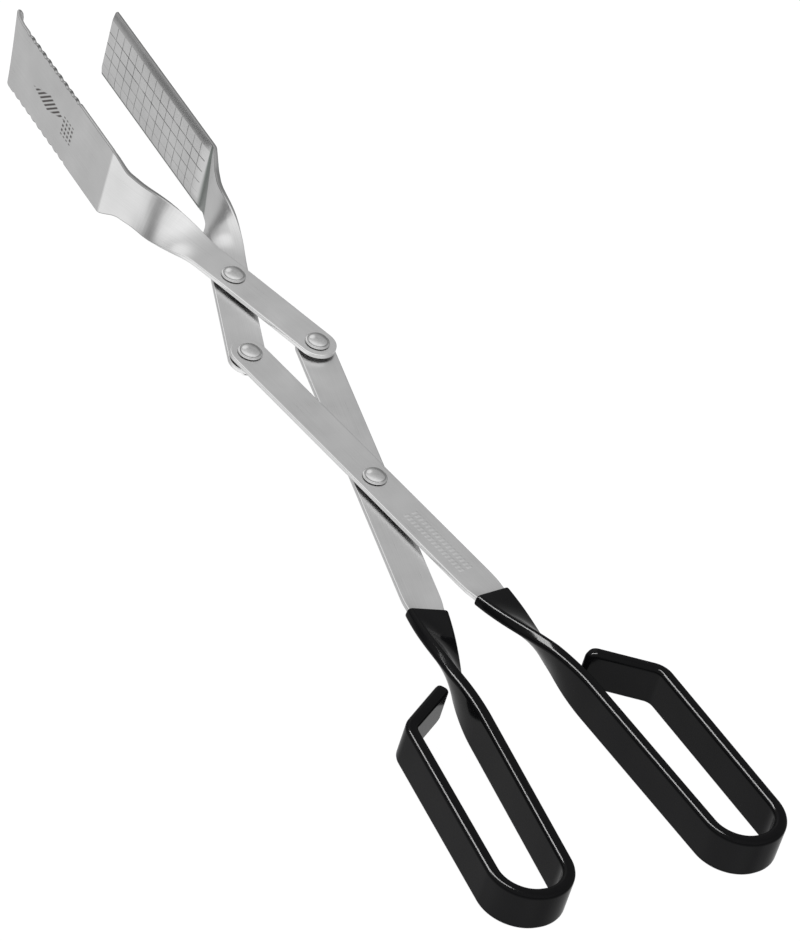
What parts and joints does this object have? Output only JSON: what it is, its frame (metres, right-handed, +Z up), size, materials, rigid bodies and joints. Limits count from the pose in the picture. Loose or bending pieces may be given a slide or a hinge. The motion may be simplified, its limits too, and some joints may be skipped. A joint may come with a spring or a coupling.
{
  "type": "lazy-tong barbecue tongs",
  "caption": "Long scissor-linkage tongs with flat riveted bars, a scalloped blade facing a scored flanged blade, and dipped open finger loops.",
  "frame": {"origin": "centre of the footprint, level with the lowest edge of the blades", "axes": "+Y from the finger loops to the jaws, +X to the right of the linkage seen from above, +Z up out of the linkage plane, so the pivots turn about Z"},
  "size_m": [0.1274, 0.5104, 0.0372],
  "materials": {
    "bar_steel": "satin",
    "blade_steel": "satin",
    "rivet_steel": "polished",
    "washer_steel": "plain",
    "dipped_vinyl": "gloss"
  },
  "bodies": {
    "rear_handle": {"rear_handle_bar": "bar_steel", "rear_handle_dipped_grip": "dipped_vinyl", "main_pivot_rivet": "rivet_steel", "main_pivot_spacer_washer": "washer_steel", "right_link_rivet": "rivet_steel", "right_link_spacer_washer": "washer_steel"},
    "front_handle": {"front_handle_bar": "bar_steel", "front_handle_dipped_grip": "dipped_vinyl", "left_link_rivet": "rivet_steel", "left_link_spacer_washer": "washer_steel"},
    "front_jaw": {"front_scalloped_jaw": "blade_steel", "jaw_crossing_rivet": "rivet_steel", "jaw_crossing_spacer_washer": "washer_steel"},
    "rear_jaw": {"rear_flanged_jaw": "blade_steel"}
  },
  "joints": [
    {"name": "main_pivot", "type": "hinge", "parent": "rear_handle", "child": "front_handle", "pos_m": [0, -0.0323, 0.0208], "axis": [0, 0, 1], "range_deg": [-8, 18]},
    {"name": "right_link_pivot", "type": "hinge", "parent": "rear_handle", "child": "front_jaw", "pos_m": [0.01541, 0.04569, 0.0208], "axis": [0, 0, 1], "range_deg": [-11.5, 26]},
    {"name": "left_link_pivot", "type": "hinge", "parent": "front_handle", "child": "rear_jaw", "pos_m": [-0.01541, 0.04569, 0.0208], "axis": [0, 0, 1], "range_deg": [-26, 11.5]}
  ],
  "couplings": [
    {"joint": "right_link_pivot", "follows": "main_pivot", "ratio": 1.39},
    {"joint": "left_link_pivot", "follows": "main_pivot", "ratio": -1.39}
  ]
}
